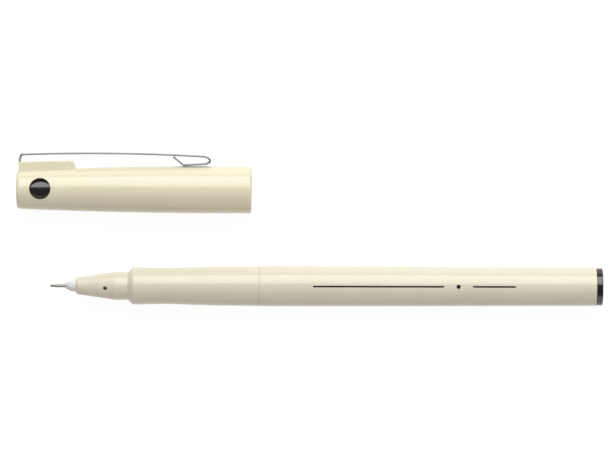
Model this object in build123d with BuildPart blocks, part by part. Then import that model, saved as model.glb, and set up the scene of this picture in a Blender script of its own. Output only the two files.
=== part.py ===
"""A fineliner pen with its cap taken off and laid beside it, in millimetres.

The pen lies along X with its point towards -X, and the cap lies beside it, towards +Y. Both rest on z = 0.
Places along the pen are counted from the point, and places along the cap from its closed end.
"""
import math
import os

from build123d import *

os.makedirs("parts", exist_ok=True)

# How the cap lies beside the pen
CAP_LEAD = 7.87  # the cap's closed end lies this far ahead of the point
AXIS_GAP = 22.95  # between the axes of the pen and the cap

# Lengths along the pen, from the point to the back
NIB_OUT = 1.24
SLEEVE_OUT = 2.37
HOLDER_OUT = 2.62
NOSE_LENGTH = 9.26
SEAL_LENGTH = 3.08
SHOULDER_LENGTH = 1.63
GRIP_LENGTH = 29.63
BARREL_LENGTH = 80.26
PLUG_HEAD_LENGTH = 1.5

# Outside of the barrel and the grip
BARREL_D = 9.58
BARREL_LEAD = 2.3  # from the seam to the full diameter
BARREL_LAND = 16.0  # the stretch at full diameter
BARREL_FRONT_STEP = 0.04  # steps are radial, below the full diameter
BARREL_BACK_STEP = 0.25
GRIP_BACK_STEP = 0.075
GRIP_SWELL_STEP = 0.29
GRIP_WAIST_STEP = 0.47
SHOULDER_STEP = 0.345
GRIP_SWELL_SHARE = 0.47
GRIP_WAIST_SHARE = 0.17
SHOULDER_EDGE = 0.5  # the level run behind the shoulder's slope
SHOULDER_EDGE_R = 1.1
SHOULDER_BLEND = 0.3  # radius of the hollow between the sealing land and the shoulder
SEAM_EDGE = 0.04
SEAM_DEPTH = 0.14
SEAL_D = 6.66
NOSE_BLEND = 2.95  # radius from the nose's taper to the sealing land
NOSE_RIM = 0.5
NOSE_EDGE_SHARE = 0.9

# Walls and bores of the pen
BARREL_WALL = 0.8
SPIGOT_STEP = 0.25  # the spigot's bore in the barrel is deeper than the rest by this
SPIGOT_WALL = 0.45
SPIGOT_LENGTH = 11.0
SPIGOT_END_GAP = 0.3
NOSE_WALL = 0.75
NOSE_SLEEVE_LENGTH = 3.4  # the stretch of the nose that grips the holder
SEAT_STEP = 0.35
SEAT_LEAD = 0.4  # the holder's seat starts this far ahead of the sealing land
WEB_BACK = 0.4  # the reservoir's seat lies this far behind the shoulder
VENT_D = 0.95
VENT_PLACE = 6.97  # behind the nose's front face
VENT_TILT = 11.4
RIB_COUNT = 4
RIB_WIDTH = 0.8
SNAP_HEIGHT = 0.1
SNAP_LENGTH = 0.8
SNAP_SHARE = 0.62

# Pieces inside the pen
NIB_D = 0.46
NIB_LENGTH = 12.0
SLEEVE_WALL = 0.12
SLEEVE_LENGTH = 8.4
SLEEVE_EDGE = 0.05
HOLDER_D = 2.9
HOLDER_TIP_RIM = 0.15
HOLDER_BELLY_SHARES = (0.36, 0.6)  # along and across the cone, at the middle of its curve
HOLDER_FLANGE_LENGTH = 2.5
HOLDER_TAIL_WALL = 0.5
HOLDER_TAIL_GAP = 0.5
AIR_SLOT_WIDTH = 0.9
AIR_SLOT_DEPTH = 0.6
AIR_SLOT_COUNT = 4
FEED_D = 1.56
FEED_BITE = 6.0  # into the reservoir
FEED_NIB_BITE = 2.0  # the nib's tail in the feed
FILM_WALL = 0.1
RESERVOIR_PLAY = 0.2

# End plug
PLUG_STEP = 0.1
PLUG_EDGE = 0.2
PLUG_SPIGOT_LENGTH = 8.8
PLUG_WALL = 0.85
PLUG_FLOOR = 1.8

# Cap, from its closed end to its mouth
CAP_LENGTH = 55.78
CAP_END_D = 9.24
CAP_MOUTH_D = 11.2
CAP_MOUTH_LAND = 10.0
CAP_SWELL = 0.24
CAP_END_EDGE = 0.7
CAP_MOUTH_EDGE = 0.3
CAP_END_WALL = 1.3
CAP_WALL = 1.07
CAP_SEAT_WALL = 0.86
MOUTH_BORE_D = 9.7
MOUTH_BORE_LENGTH = 15.0
CAP_STEP = 0.1  # between the liner's seat and the bore behind it
CAP_STEP_LENGTH = 0.4
WINDOW_D = 5.05
WINDOW_PLACE = 5.66
WINDOW_TILT = 1.7  # towards the clip, from straight up
LINER_LENGTH = 23.0
LINER_WALL = 0.55
LINER_FLOOR = 1.2
LINER_SEAL_LENGTH = 2.6
LINER_LEAD_IN = 0.25

# Clip strip and the block that holds it
CLIP_T = 0.42
CLIP_WIDTH = 3.4
BOW_R = 460.0
BOW_CROWN = 18.5
BOW_START = 1.5
BOW_END = 44.37
BEND_RUN = 0.47  # from the bow's start to the sharp upper corner
BEND_R = 0.36
BEND_GAP = 0.06
ROOT_CORNER = 0.63
ROOT_R = 0.3
ROOT_KNEE = 1.3  # above the tongue
ROOT_KNEE_R = 0.6
CURL_EASE_R = 2.2  # the gentle bends into the curl and out of it
CURL_EASE_TURN = 45.0  # heading below level where the first gentle bend ends
CURL_R = 0.465
CURL_TURN = 98.0
LEG_LENGTH = 4.95
LEG_SLOPE = 3.0
KINK_R = 0.4
FREE_LEG_RUN = 2.38
FREE_LEG_RISE = 1.94
BLOCK_SETBACK = 0.5
BLOCK_LENGTH = 13.25
BLOCK_HEIGHT = 1.8  # at its back end
BLOCK_FRONT_HEIGHT = 1.92
BLOCK_SIDE_WALL = 0.5
BLOCK_END_WALL = 1.5
BLOCK_EDGE = 0.3
BLOCK_BACK_EDGE = 1.0
TONGUE_HEIGHT = 1.25
TONGUE_END_GAP = 0.3
NOTCH_DEPTH = 0.55  # the notch in the block's front edge that the strip's bend stands in
NOTCH_DROP = 0.1

# Clearances, on the radius or on each side, and one overrun for cuts
FIT = 0.02
FIBRE_FIT = 0.03
SEAL_FIT = 0.03
SLOT_FIT = 0.03
CLIP_CLEARANCE = 0.05
OVERRUN = 1.0

# Places along the pen
sleeve_front = NIB_OUT
holder_front = sleeve_front + SLEEVE_OUT
nose_front = holder_front + HOLDER_OUT
seal_front = nose_front + NOSE_LENGTH
seal_back = seal_front + SEAL_LENGTH
shoulder = seal_back + SHOULDER_LENGTH
seam = shoulder + GRIP_LENGTH
barrel_back = seam + BARREL_LENGTH
pen_length = barrel_back + PLUG_HEAD_LENGTH
spigot_back = seam + SPIGOT_LENGTH
land_front = seam + BARREL_LEAD
land_back = land_front + BARREL_LAND
seat_front = seal_front - SEAT_LEAD
flange_back = seat_front + HOLDER_FLANGE_LENGTH
web_back = shoulder + WEB_BACK
plug_nose = barrel_back - PLUG_SPIGOT_LENGTH
sleeve_back = sleeve_front + SLEEVE_LENGTH
reservoir_front = web_back + RESERVOIR_PLAY
reservoir_back = plug_nose - RESERVOIR_PLAY
holder_back = reservoir_front - HOLDER_TAIL_GAP
feed_front = NIB_LENGTH - FEED_NIB_BITE
feed_back = reservoir_front + FEED_BITE

# Radii of the pen
barrel_r = BARREL_D / 2
barrel_back_r = barrel_r - BARREL_BACK_STEP
grip_back_r = barrel_r - GRIP_BACK_STEP
shoulder_r = barrel_r - SHOULDER_STEP
seal_r = SEAL_D / 2
barrel_bore_r = barrel_back_r - BARREL_WALL
spigot_bore_r = barrel_bore_r + SPIGOT_STEP
spigot_r = spigot_bore_r - FIT
section_bore_r = spigot_r - SPIGOT_WALL
film_r = section_bore_r - FIBRE_FIT
reservoir_r = film_r - FILM_WALL - FIT
rib_r = film_r + FIBRE_FIT
seat_r = seal_r - NOSE_WALL
nib_r = NIB_D / 2
sleeve_r = nib_r + FIT + SLEEVE_WALL
holder_r = HOLDER_D / 2
feed_r = FEED_D / 2
nose_r = holder_r + FIT + NOSE_RIM
plug_r = barrel_back_r - PLUG_STEP
plug_spigot_r = barrel_bore_r - FIT

# The bow of the clip is an arc that runs into the curl without a kink, in the cap's own plane.
# Headings are angles below level, and each bend drops by its radius times the change of their cosine.
mouth_r = CAP_MOUTH_D / 2
kink_height = mouth_r + CLIP_CLEARANCE + CLIP_T / 2
bow_heading = math.asin((BOW_END - BOW_CROWN) / BOW_R)
curl_heading = math.radians(CURL_EASE_TURN)
foot_heading = math.radians(CURL_EASE_TURN + CURL_TURN)
leg_heading = math.radians(180 - LEG_SLOPE)
curl_drop = (
    CURL_EASE_R * (math.cos(bow_heading) - math.cos(curl_heading))
    + CURL_R * (math.cos(curl_heading) - math.cos(foot_heading))
    + CURL_EASE_R * (math.cos(foot_heading) - math.cos(leg_heading))
)
bow_end_height = kink_height + LEG_LENGTH * math.sin(leg_heading) + curl_drop
crown_height = bow_end_height + BOW_R * (1 - math.cos(bow_heading))
start_turn = math.asin((BOW_CROWN - BOW_START) / BOW_R)
start_height = crown_height - BOW_R * (1 - math.cos(start_turn))

# Where the pen and the cap lie, with the origin under the middle of the whole
tip_x = (CAP_LEAD - pen_length) / 2
cap_x = tip_x - CAP_LEAD
pen_y = (barrel_r - AXIS_GAP - crown_height - CLIP_T / 2) / 2
cap_y = pen_y + AXIS_GAP
pen_plane = Plane((tip_x, pen_y, barrel_r))
cap_plane = Plane((cap_x, cap_y, mouth_r))
pen_axis = Axis(pen_plane.origin, (1, 0, 0))
cap_axis = Axis(cap_plane.origin, (1, 0, 0))


def snap_bead(place, radius, proud):
    """Corners of a low bead with sloping flanks on a spigot or, as a groove, in its bore."""
    flank = SNAP_LENGTH / 4
    half = SNAP_LENGTH / 2
    return [
        (place - half - flank, radius),
        (place - half, radius + proud),
        (place + half, radius + proud),
        (place + half + flank, radius),
    ]


def cap_radius(place):
    """Outside radius of the cap: an arc that swells from the closed end to the land at the mouth."""
    reach = CAP_LENGTH - CAP_MOUTH_LAND
    share = min(place / reach, 1.0)
    straight = CAP_END_D / 2 + (mouth_r - CAP_END_D / 2) * share
    return straight + 4 * CAP_SWELL * share * (1 - share)


# Nib: a straight rod with a round writing point
nib_round = nib_r * math.sqrt(0.5)
with BuildPart() as nib:
    with BuildSketch(pen_plane):
        with BuildLine():
            ThreePointArc((0, 0), (nib_r - nib_round, nib_round), (nib_r, nib_r))
            Polyline((nib_r, nib_r), (NIB_LENGTH, nib_r), (NIB_LENGTH, 0), (0, 0))
        make_face()
    revolve(axis=pen_axis)
nib.part.label = "nib"
export_step(nib.part, "parts/nib.step")

# Sleeve: a thin metal tube that stiffens the nib
with BuildPart() as nib_sleeve:
    with BuildSketch(pen_plane):
        with BuildLine():
            FilletPolyline(
                (sleeve_front, nib_r + FIT),
                (sleeve_front, sleeve_r),
                (sleeve_back, sleeve_r),
                (sleeve_back, nib_r + FIT),
                radius=(SLEEVE_EDGE, 0),
            )
            Line((sleeve_back, nib_r + FIT), (sleeve_front, nib_r + FIT))
        make_face()
    revolve(axis=pen_axis)
nib_sleeve.part.label = "nib_sleeve"
export_step(nib_sleeve.part, "parts/nib_sleeve.step")

# Holder: a round-sided cone outside the nose, a straight shank inside it, and a slotted flange on its seat
holder_tip_r = sleeve_r + FIT + HOLDER_TIP_RIM
tail_r = feed_r + FIT + HOLDER_TAIL_WALL
belly_along, belly_across = HOLDER_BELLY_SHARES
belly = (
    holder_front + HOLDER_OUT * belly_along,
    holder_tip_r + (holder_r - holder_tip_r) * belly_across,
)
with BuildPart() as nib_holder:
    with BuildSketch(pen_plane):
        with BuildLine():
            ThreePointArc((holder_front, holder_tip_r), belly, (nose_front, holder_r))
            Polyline(
                (nose_front, holder_r),
                (seat_front, holder_r),
                (seat_front, seat_r - FIT),
                (flange_back, seat_r - FIT),
                (flange_back, tail_r),
                (holder_back, tail_r),
                (holder_back, feed_r + FIT),
                (sleeve_back, feed_r + FIT),
                (sleeve_back, sleeve_r + FIT),
                (holder_front, sleeve_r + FIT),
                (holder_front, holder_tip_r),
            )
        make_face()
    revolve(axis=pen_axis)
    with BuildSketch(Plane(pen_axis.position, x_dir=(0, 1, 0), z_dir=(1, 0, 0)).offset(flange_back)):
        with PolarLocations(seat_r, AIR_SLOT_COUNT):
            Rectangle(2 * AIR_SLOT_DEPTH, AIR_SLOT_WIDTH)
    extrude(amount=-HOLDER_FLANGE_LENGTH, mode=Mode.SUBTRACT)
nib_holder.part.label = "nib_holder"
export_step(nib_holder.part, "parts/nib_holder.step")

# Feed: a fibre rod from the nib's tail into the reservoir
with BuildPart() as feed:
    with BuildSketch(pen_plane):
        with BuildLine():
            Polyline(
                (feed_front, nib_r + FIT),
                (feed_front, feed_r),
                (feed_back, feed_r),
                (feed_back, 0),
                (NIB_LENGTH + FIT, 0),
                (NIB_LENGTH + FIT, nib_r + FIT),
                close=True,
            )
        make_face()
    revolve(axis=pen_axis)
feed.part.label = "feed"
export_step(feed.part, "parts/feed.step")

# Reservoir: a fibre roll with a socket for the feed
with BuildPart() as ink_reservoir:
    with BuildSketch(pen_plane):
        with BuildLine():
            Polyline(
                (reservoir_front, feed_r + FIT),
                (reservoir_front, reservoir_r),
                (reservoir_back, reservoir_r),
                (reservoir_back, 0),
                (feed_back + FIT, 0),
                (feed_back + FIT, feed_r + FIT),
                close=True,
            )
        make_face()
    revolve(axis=pen_axis)
ink_reservoir.part.label = "ink_reservoir"
export_step(ink_reservoir.part, "parts/ink_reservoir.step")

# Film: a thin wrap round the reservoir
with BuildPart() as reservoir_film:
    with BuildSketch(pen_plane):
        with BuildLine():
            Polyline(
                (reservoir_front, film_r - FILM_WALL),
                (reservoir_front, film_r),
                (reservoir_back, film_r),
                (reservoir_back, film_r - FILM_WALL),
                close=True,
            )
        make_face()
    revolve(axis=pen_axis)
reservoir_film.part.label = "reservoir_film"
export_step(reservoir_film.part, "parts/reservoir_film.step")

# Front section: nose, sealing land, shoulder and waisted grip outside, and the holder's seat inside
waist_place = shoulder + GRIP_LENGTH * GRIP_WAIST_SHARE
swell_place = shoulder + GRIP_LENGTH * GRIP_SWELL_SHARE
nose_grip_back = nose_front + NOSE_SLEEVE_LENGTH
chamber_back_r = seat_r - SEAT_STEP
spigot_snap = seam + SPIGOT_LENGTH * SNAP_SHARE
with BuildPart() as front_section:
    with BuildSketch(pen_plane):
        with BuildLine():
            nose = FilletPolyline(
                (nose_front, holder_r + FIT),
                (nose_front, nose_r),
                (seal_front, seal_r),
                (seal_back, seal_r),
                (shoulder - SHOULDER_EDGE, shoulder_r),
                (shoulder, shoulder_r),
                radius=(NOSE_RIM * NOSE_EDGE_SHARE, NOSE_BLEND, SHOULDER_BLEND, SHOULDER_EDGE_R),
            )
            grip = Spline(
                nose @ 1,
                (waist_place, barrel_r - GRIP_WAIST_STEP),
                (swell_place, barrel_r - GRIP_SWELL_STEP),
                (seam - SEAM_EDGE, grip_back_r),
                tangents=((1, 0), (1, 0)),
            )
            Polyline(
                grip @ 1,
                (seam, grip_back_r - SEAM_DEPTH),
                (seam, spigot_r),
                *snap_bead(spigot_snap, spigot_r, SNAP_HEIGHT),
                (spigot_back, spigot_r),
                (spigot_back, section_bore_r),
                (web_back, section_bore_r),
                (web_back, seat_r),
                (seat_front, seat_r),
                (seat_front, chamber_back_r),
                (nose_grip_back, holder_r + FIT),
                nose @ 0,
            )
        make_face()
    revolve(axis=pen_axis)
    vent_plane = Plane(
        pen_plane.from_local_coords((nose_front + VENT_PLACE, 0, 0)),
        x_dir=(1, 0, 0),
        z_dir=(0, -math.sin(math.radians(VENT_TILT)), math.cos(math.radians(VENT_TILT))),
    )
    with BuildSketch(vent_plane.offset(holder_r)):
        Circle(VENT_D / 2)
    extrude(amount=seal_r, mode=Mode.SUBTRACT)
front_section.part.label = "front_section"
export_step(front_section.part, "parts/front_section.step")

# Barrel: a tapered tube with a deeper bore for the spigot and low ribs that hold the reservoir
spigot_bore_back = spigot_back + SPIGOT_END_GAP
plug_snap = barrel_back - PLUG_SPIGOT_LENGTH * SNAP_SHARE
with BuildPart() as barrel:
    with BuildSketch(pen_plane):
        with BuildLine():
            Polyline(
                (seam, spigot_bore_r),
                (seam, barrel_r - BARREL_FRONT_STEP - SEAM_DEPTH),
                (seam + SEAM_EDGE, barrel_r - BARREL_FRONT_STEP),
                (land_front, barrel_r),
                (land_back, barrel_r),
                (barrel_back, barrel_back_r),
                (barrel_back, barrel_bore_r),
                *reversed(snap_bead(plug_snap, barrel_bore_r, SNAP_HEIGHT)),
                (spigot_bore_back, barrel_bore_r),
                (spigot_bore_back, spigot_bore_r),
                *reversed(snap_bead(spigot_snap, spigot_bore_r, SNAP_HEIGHT)),
                close=True,
            )
        make_face()
    revolve(axis=pen_axis)
    rib_face = Plane(pen_axis.position, x_dir=(0, 1, 0), z_dir=(1, 0, 0)).offset(spigot_bore_back)
    rib_middle_r = (rib_r + barrel_bore_r + SPIGOT_STEP) / 2
    with BuildSketch(rib_face):
        with PolarLocations(rib_middle_r, RIB_COUNT):
            Rectangle(barrel_bore_r + SPIGOT_STEP - rib_r, RIB_WIDTH)
    extrude(amount=plug_nose - RESERVOIR_PLAY - spigot_bore_back)
barrel.part.label = "barrel"
export_step(barrel.part, "parts/barrel.step")

# End plug: a hollow spigot in the barrel and a head with a round edge
with BuildPart() as end_plug:
    with BuildSketch(pen_plane):
        with BuildLine():
            FilletPolyline(
                (barrel_back, plug_spigot_r),
                (barrel_back, plug_r),
                (pen_length, plug_r),
                (pen_length, 0),
                radius=(0, PLUG_EDGE),
            )
            Polyline(
                (pen_length, 0),
                (pen_length - PLUG_FLOOR, 0),
                (pen_length - PLUG_FLOOR, plug_spigot_r - PLUG_WALL),
                (plug_nose, plug_spigot_r - PLUG_WALL),
                (plug_nose, plug_spigot_r),
                *snap_bead(plug_snap, plug_spigot_r, SNAP_HEIGHT),
                (barrel_back, plug_spigot_r),
            )
        make_face()
    revolve(axis=pen_axis)
end_plug.part.label = "end_plug"
export_step(end_plug.part, "parts/end_plug.step")

# Places inside the cap
seat_deep_r = cap_radius(CAP_END_WALL) - CAP_WALL
liner_front = CAP_END_WALL + FIT
liner_back = liner_front + LINER_LENGTH
seat_back_r = cap_radius(liner_back) - CAP_SEAT_WALL
mouth_bore_r = MOUTH_BORE_D / 2
mouth_bore_front = CAP_LENGTH - MOUTH_BORE_LENGTH
block_back = BLOCK_SETBACK + BLOCK_LENGTH
tongue_height = cap_radius(BLOCK_SETBACK) + TONGUE_HEIGHT
tongue_end = block_back - BLOCK_END_WALL - TONGUE_END_GAP
slot_width = CLIP_WIDTH + 2 * SLOT_FIT
slot_height = CLIP_T + 2 * SLOT_FIT
block_width = slot_width + 2 * BLOCK_SIDE_WALL
block_top = cap_radius(BLOCK_SETBACK) + BLOCK_FRONT_HEIGHT
notch_floor = tongue_height - slot_height / 2 - NOTCH_DROP

# Block on the cap that the clip's tongue is pushed into
with BuildPart() as clip_block:
    with BuildSketch(cap_plane):
        with BuildLine():
            Polyline(
                (BLOCK_SETBACK, 0),
                (BLOCK_SETBACK, block_top),
                (block_back, cap_radius(block_back) + BLOCK_HEIGHT),
                (block_back, 0),
                close=True,
            )
        make_face()
    extrude(amount=block_width / 2, both=True)
    back_edge = clip_block.faces().sort_by(Axis.Y)[-1].edges().sort_by(Axis.X)[-1]
    fillet(back_edge, BLOCK_BACK_EDGE)
    crown_edges = clip_block.faces().sort_by(Axis.Y)[-1].edges()
    sides = crown_edges.sort_by(Axis.Z)
    fillet([sides[0], sides[-1], crown_edges.sort_by(Axis.X)[0]], BLOCK_EDGE)

# Cap shell: a swelling tube closed at one end, with the clip block, the tongue's slot and a round window
cap_land_front = CAP_LENGTH - CAP_MOUTH_LAND
swell_middle = (cap_land_front / 2, cap_radius(cap_land_front / 2))
with BuildPart() as cap_shell:
    with BuildSketch(cap_plane):
        with BuildLine():
            side = ThreePointArc((0, CAP_END_D / 2), swell_middle, (cap_land_front, mouth_r))
            Polyline(side @ 1, (CAP_LENGTH, mouth_r), (CAP_LENGTH, 0), (0, 0), side @ 0)
        make_face()
    revolve(axis=cap_axis)
    ends = cap_shell.edges().filter_by(GeomType.CIRCLE).sort_by(Axis.X)
    fillet(ends[0], CAP_END_EDGE)
    mouth_edge = cap_shell.edges().filter_by(GeomType.CIRCLE).sort_by(Axis.X)[-1]
    fillet(mouth_edge, CAP_MOUTH_EDGE)
    add(clip_block.part)
    with BuildSketch(cap_plane):
        with BuildLine():
            Polyline(
                (CAP_END_WALL, 0),
                (CAP_END_WALL, seat_deep_r),
                (liner_back, seat_back_r),
                (liner_back + CAP_STEP_LENGTH, seat_back_r + CAP_STEP),
                (mouth_bore_front, mouth_bore_r),
                (CAP_LENGTH + OVERRUN, mouth_bore_r),
                (CAP_LENGTH + OVERRUN, 0),
                close=True,
            )
        make_face()
    revolve(axis=cap_axis, mode=Mode.SUBTRACT)
    with BuildSketch(cap_plane):
        with Locations(((BLOCK_SETBACK + tongue_end + TONGUE_END_GAP - OVERRUN) / 2, tongue_height)):
            Rectangle(tongue_end + TONGUE_END_GAP - BLOCK_SETBACK + OVERRUN, slot_height)
        with Locations((BLOCK_SETBACK, (notch_floor + block_top + OVERRUN) / 2)):
            Rectangle(2 * NOTCH_DEPTH, block_top + OVERRUN - notch_floor)
    extrude(amount=slot_width / 2, both=True, mode=Mode.SUBTRACT)
    window_plane = Plane(
        cap_plane.from_local_coords((WINDOW_PLACE, 0, 0)),
        x_dir=(1, 0, 0),
        z_dir=(0, math.sin(math.radians(WINDOW_TILT)), math.cos(math.radians(WINDOW_TILT))),
    )
    with BuildSketch(window_plane):
        Circle(WINDOW_D / 2)
    extrude(amount=mouth_r + OVERRUN, mode=Mode.SUBTRACT)
cap_shell.part.label = "cap_shell"
export_step(cap_shell.part, "parts/cap_shell.step")

# Liner of the cap: a cup that fills the closed end, shows in the window and seals on the nose
liner_seal_r = seal_r + SEAL_FIT
liner_deep_r = seat_deep_r - FIT
with BuildPart() as inner_cap:
    with BuildSketch(cap_plane):
        with BuildLine():
            Polyline(
                (liner_front, 0),
                (liner_front, liner_deep_r),
                (liner_back, seat_back_r - FIT),
                (liner_back, liner_seal_r + LINER_LEAD_IN),
                (liner_back - LINER_LEAD_IN, liner_seal_r),
                (liner_back - LINER_SEAL_LENGTH, liner_seal_r),
                (liner_front + LINER_FLOOR, liner_deep_r - LINER_WALL),
                (liner_front + LINER_FLOOR, 0),
                close=True,
            )
        make_face()
    revolve(axis=cap_axis)
inner_cap.part.label = "inner_cap"
export_step(inner_cap.part, "parts/inner_cap.step")

# Clip root: the tongue in the block, the bend in the notch, the slight knee and the sharp bend at the top
bow_start = Vector(BOW_START, start_height)
bow_run = Vector(math.cos(start_turn), math.sin(start_turn))
bend_corner = bow_start - bow_run * BEND_RUN
with BuildPart() as clip_root:
    with BuildSketch(cap_plane):
        with BuildLine():
            root_path = FilletPolyline(
                (tongue_end, tongue_height),
                (ROOT_CORNER, tongue_height),
                (ROOT_CORNER, tongue_height + ROOT_KNEE),
                bend_corner,
                bow_start - bow_run * BEND_GAP,
                radius=(ROOT_R, ROOT_KNEE_R, BEND_R),
            )
        trace(line_width=CLIP_T)
    extrude(amount=CLIP_WIDTH / 2, both=True)
clip_root.part.label = "clip_root"
export_step(clip_root.part, "parts/clip_root.step")

# Clip arm: the bow, the curl at its end, the leg that rests on the cap and the turned-up free end
ease_in_turn = CURL_EASE_TURN - math.degrees(bow_heading)
ease_out_turn = 180 - LEG_SLOPE - CURL_EASE_TURN - CURL_TURN
with BuildPart() as clip_arm:
    with BuildSketch(cap_plane):
        with BuildLine():
            bow = ThreePointArc(bow_start, (BOW_CROWN, crown_height), (BOW_END, bow_end_height))
            ease_in = JernArc(bow @ 1, bow % 1, CURL_EASE_R, -ease_in_turn)
            curl = JernArc(ease_in @ 1, ease_in % 1, CURL_R, -CURL_TURN)
            ease_out = JernArc(curl @ 1, curl % 1, CURL_EASE_R, -ease_out_turn)
            kink = ease_out @ 1 + Vector(math.cos(leg_heading), -math.sin(leg_heading)) * LEG_LENGTH
            free_end = kink + Vector(-FREE_LEG_RUN, FREE_LEG_RISE)
            FilletPolyline(ease_out @ 1, kink, free_end, radius=KINK_R)
        trace(line_width=CLIP_T)
    extrude(amount=CLIP_WIDTH / 2, both=True)
clip_arm.part.label = "clip_arm"
export_step(clip_arm.part, "parts/clip_arm.step")

# Places that the record repeats
bend_centre = root_path.edges().filter_by(GeomType.CIRCLE).sort_by(Axis.Y)[-1].arc_center
print("pen axis", pen_plane.origin, "cap axis", cap_plane.origin)
print("clip bend centre", cap_plane.from_local_coords(bend_centre))
print("clip kink", cap_plane.from_local_coords(kink))
print("seam at x", tip_x + seam, "pen end at x", tip_x + pen_length)
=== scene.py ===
"""Fineliner pen with its cap laid beside it: surfaces, finishes, light and camera, in metres."""
import math

import bmesh
import bpy
import numpy as np
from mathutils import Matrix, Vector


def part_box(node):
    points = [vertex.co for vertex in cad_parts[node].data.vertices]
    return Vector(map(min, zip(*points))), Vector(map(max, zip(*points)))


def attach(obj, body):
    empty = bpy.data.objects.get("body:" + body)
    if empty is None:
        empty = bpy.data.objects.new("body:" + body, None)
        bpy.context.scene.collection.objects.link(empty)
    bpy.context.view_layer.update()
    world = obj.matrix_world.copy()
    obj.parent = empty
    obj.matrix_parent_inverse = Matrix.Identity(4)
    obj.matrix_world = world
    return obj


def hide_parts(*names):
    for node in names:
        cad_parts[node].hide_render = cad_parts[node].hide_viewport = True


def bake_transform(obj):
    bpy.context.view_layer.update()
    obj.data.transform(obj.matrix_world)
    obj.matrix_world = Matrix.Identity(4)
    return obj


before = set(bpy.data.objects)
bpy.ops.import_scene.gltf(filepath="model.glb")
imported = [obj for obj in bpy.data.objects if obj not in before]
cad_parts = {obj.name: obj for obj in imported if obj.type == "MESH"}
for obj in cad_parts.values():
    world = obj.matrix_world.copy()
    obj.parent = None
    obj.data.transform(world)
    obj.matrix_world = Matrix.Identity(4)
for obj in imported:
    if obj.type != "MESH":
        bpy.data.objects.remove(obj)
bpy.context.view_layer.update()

# Nib: the writing point, a thin rod of hard plastic with ink channels and a rounded end.
# It is pushed through the metal sleeve, and its tail reaches the fibre feed inside the pen.
MM = 0.001
nib_lo, nib_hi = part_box("nib")
barrel_lo, barrel_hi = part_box("barrel")
pen_line = np.array([nib_lo.x, (barrel_lo.y + barrel_hi.y) / 2, (barrel_lo.z + barrel_hi.z) / 2])
nib_r = (nib_hi.y - nib_lo.y) / 2
nib_length = nib_hi.x - nib_lo.x
NIB_ROUND_SHARE = 0.96
NIB_ROUND_STEPS = 10
NIB_STEP = 0.6 * MM
NIB_AROUND = 48
NIB_COLOURS = ((0.105, 0.10, 0.10), (0.075, 0.073, 0.074))
NIB_ROUGHNESS = (0.38, 0.55)
NIB_GRAIN = 0.0012 * MM
MERGE_DISTANCE = 0.00001 * MM
CREASE = 32.0
SHADE_NOISE = (180, 3)
GLOSS_NOISE = (1400, 4)
GRAIN_NOISE = (5200, 2)
SHADE_STOPS = (0.35, 0.65)
GLOSS_STOPS = (0.3, 0.7)
GRAIN_STRENGTH = 0.5


def rounded(corners, radii, steps=8):
    """Polyline with round corners: each arc touches both runs, with its centre on the corner's bisector."""
    corners = np.array(corners, dtype=float)
    path = [corners[:1]]
    for before, corner, after, radius in zip(corners[:-2], corners[1:-1], corners[2:], radii):
        back = (before - corner) / np.linalg.norm(before - corner)
        ahead = (after - corner) / np.linalg.norm(after - corner)
        half = math.acos(np.clip(back @ ahead, -1, 1)) / 2
        inward = (back + ahead) / np.linalg.norm(back + ahead)
        side = ahead - inward * (ahead @ inward)
        side /= np.linalg.norm(side)
        swing = np.linspace(-1, 1, steps + 1)[:, None] * (math.pi / 2 - half)
        centre = corner + inward * radius / math.sin(half)
        arc = centre + radius * (np.sin(swing) * side - np.cos(swing) * inward)
        path.append(arc if radius > 0 else corner[None])
    return np.concatenate(path + [corners[-1:]])


def even_steps(path, longest):
    """The same polyline with points added along its runs, so that no step is much longer than the longest.

    Points are added at multiples of that step, except within a quarter of it from a point of the path.
    """
    run = np.concatenate([[0], np.cumsum(np.linalg.norm(np.diff(path, axis=0), axis=1))])
    more = np.arange(0, run[-1], longest)
    clear = np.abs(more[:, None] - run[None]).min(axis=1) > longest / 4
    run_all = np.sort(np.concatenate([run, more[clear]]))
    return np.stack([np.interp(run_all, run, path[:, k]) for k in (0, 1)], axis=1)


def grid_faces(rows, columns, closed_rows):
    """Four-sided faces of a grid whose columns run round, as its rows do too if they are closed."""
    row = np.arange(rows if closed_rows else rows - 1)[:, None]
    column = np.arange(columns)[None]
    here = row * columns
    after = (row + 1) % rows * columns
    beside = (column + 1) % columns
    return np.stack([here + column, here + beside, after + beside, after + column], axis=-1)


def make_piece(name, points, faces, finish, crease=CREASE):
    """Mesh piece: points that fall together are merged, faces turned outwards, crisp edges kept sharp."""
    mesh = bpy.data.meshes.new(name)
    mesh.from_pydata(points.tolist(), [], faces)
    build = bmesh.new()
    build.from_mesh(mesh)
    bmesh.ops.remove_doubles(build, verts=build.verts, dist=MERGE_DISTANCE)
    bmesh.ops.recalc_face_normals(build, faces=build.faces)
    build.to_mesh(mesh)
    build.free()
    mesh.shade_smooth()
    mesh.set_sharp_from_angle(angle=math.radians(crease))
    mesh.materials.append(finish)
    made = bpy.data.objects.new(name, mesh)
    bpy.context.scene.collection.objects.link(made)
    return made


def spun(rows, angle):
    """Rows (along, radius) carried round an axis: x = along, y = radius sin angle, z = radius cos angle."""
    radius = rows[:, 1:]
    along = np.broadcast_to(rows[:, :1], (len(rows), len(angle)))
    return np.stack([along, radius * np.sin(angle), radius * np.cos(angle)], axis=-1)


def turned(name, profile, line, finish, around=128, closed=True):
    """Turned piece: the profile goes once round the line, and its last row joins its first if closed."""
    angle = np.linspace(0, 2 * math.pi, around, endpoint=False)
    points = spun(profile, angle) + line
    faces = grid_faces(len(profile), around, closed).reshape(-1, 4)
    return make_piece(name, points.reshape(-1, 3), faces.tolist(), finish)


def new_finish(name):
    """A new material, with its tree of nodes and the shader in it."""
    finish = bpy.data.materials.new(name)
    finish.use_nodes = True
    return finish, finish.node_tree, finish.node_tree.nodes["Principled BSDF"]


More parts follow.
